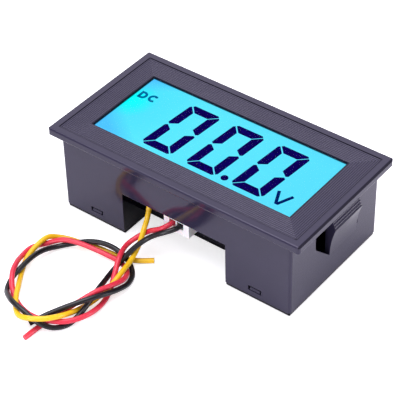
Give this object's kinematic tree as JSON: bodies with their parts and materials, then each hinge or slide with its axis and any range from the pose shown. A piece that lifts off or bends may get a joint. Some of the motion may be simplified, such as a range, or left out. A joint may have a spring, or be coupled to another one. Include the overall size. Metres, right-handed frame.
{
  "type": "digital panel meter",
  "caption": "Snap-in digital panel voltmeter: black case with front bezel, backlit liquid-crystal digits, side snap tongues and loose input leads from a rear recess.",
  "frame": {"origin": "middle of the back cover's underside, the face the meter lies on", "axes": "+X along the reading direction of the digits, +Y towards the top of the digits, +Z out of the display towards the reader"},
  "size_m": [0.079, 0.085, 0.026],
  "materials": {
    "case": "injection-moulded black ABS, glossy walls",
    "cover": "injection-moulded black ABS",
    "front_glass": "clear glass with polariser bonded on",
    "lit_glass": "rear glass of the display, lit light blue",
    "seal": "cured edge seal",
    "segments": "dark blue switched-on segments",
    "film": "white film",
    "guide": "clear acrylic light guide",
    "white_frame": "white moulded plastic",
    "led": "white lamp package",
    "zebra": "striped conductive rubber",
    "board": "green solder mask",
    "chip": "black moulding compound",
    "tin": "tinned",
    "sleeve": "dark blue sleeve",
    "resistor": "black film on ceramic",
    "ceramic": "tan ceramic",
    "trimmer_blue": "blue plastic",
    "rotor": "white plastic",
    "connector": "white nylon",
    "gilt": "gold-plated brass",
    "solder": "solder",
    "red_sleeve": "red wire sleeve",
    "black_sleeve": "black wire sleeve",
    "yellow_sleeve": "yellow wire sleeve"
  },
  "bodies": {
    "meter": {"case": "case", "back_cover": "cover", "lcd_front_glass": "front_glass", "lcd_rear_glass": "lit_glass", "lcd_seal": "seal", "digit_segments": "segments", "diffuser_film": "film", "light_guide": "guide", "reflector_film": "film", "backlight_frame": "white_frame", "backlight_led": "led", "zebra_strips": "zebra", "circuit_board": "board", "converter_chip": "chip", "chip_pins": "tin", "electrolytic_capacitors": "sleeve", "voltage_regulator": "chip", "input_diode": "chip", "component_leads": "tin", "chip_resistors": "resistor", "ceramic_capacitors": "ceramic", "trimmer_body": "trimmer_blue", "wire_socket": "connector", "socket_pins": "gilt", "wire_plug": "connector", "crimp_contacts": "tin", "solder_joints": "solder", "lead_red": "red_sleeve", "lead_black": "black_sleeve", "lead_yellow": "yellow_sleeve"},
    "trimmer": {"trimmer_rotor": "rotor"}
  },
  "joints": [
    {"name": "trimmer_turn", "type": "hinge", "parent": "meter", "child": "trimmer", "pos_m": [-0.022, 0.006, 0.0112], "axis": [0, 0, -1], "range_deg": [-130, 130]}
  ]
}
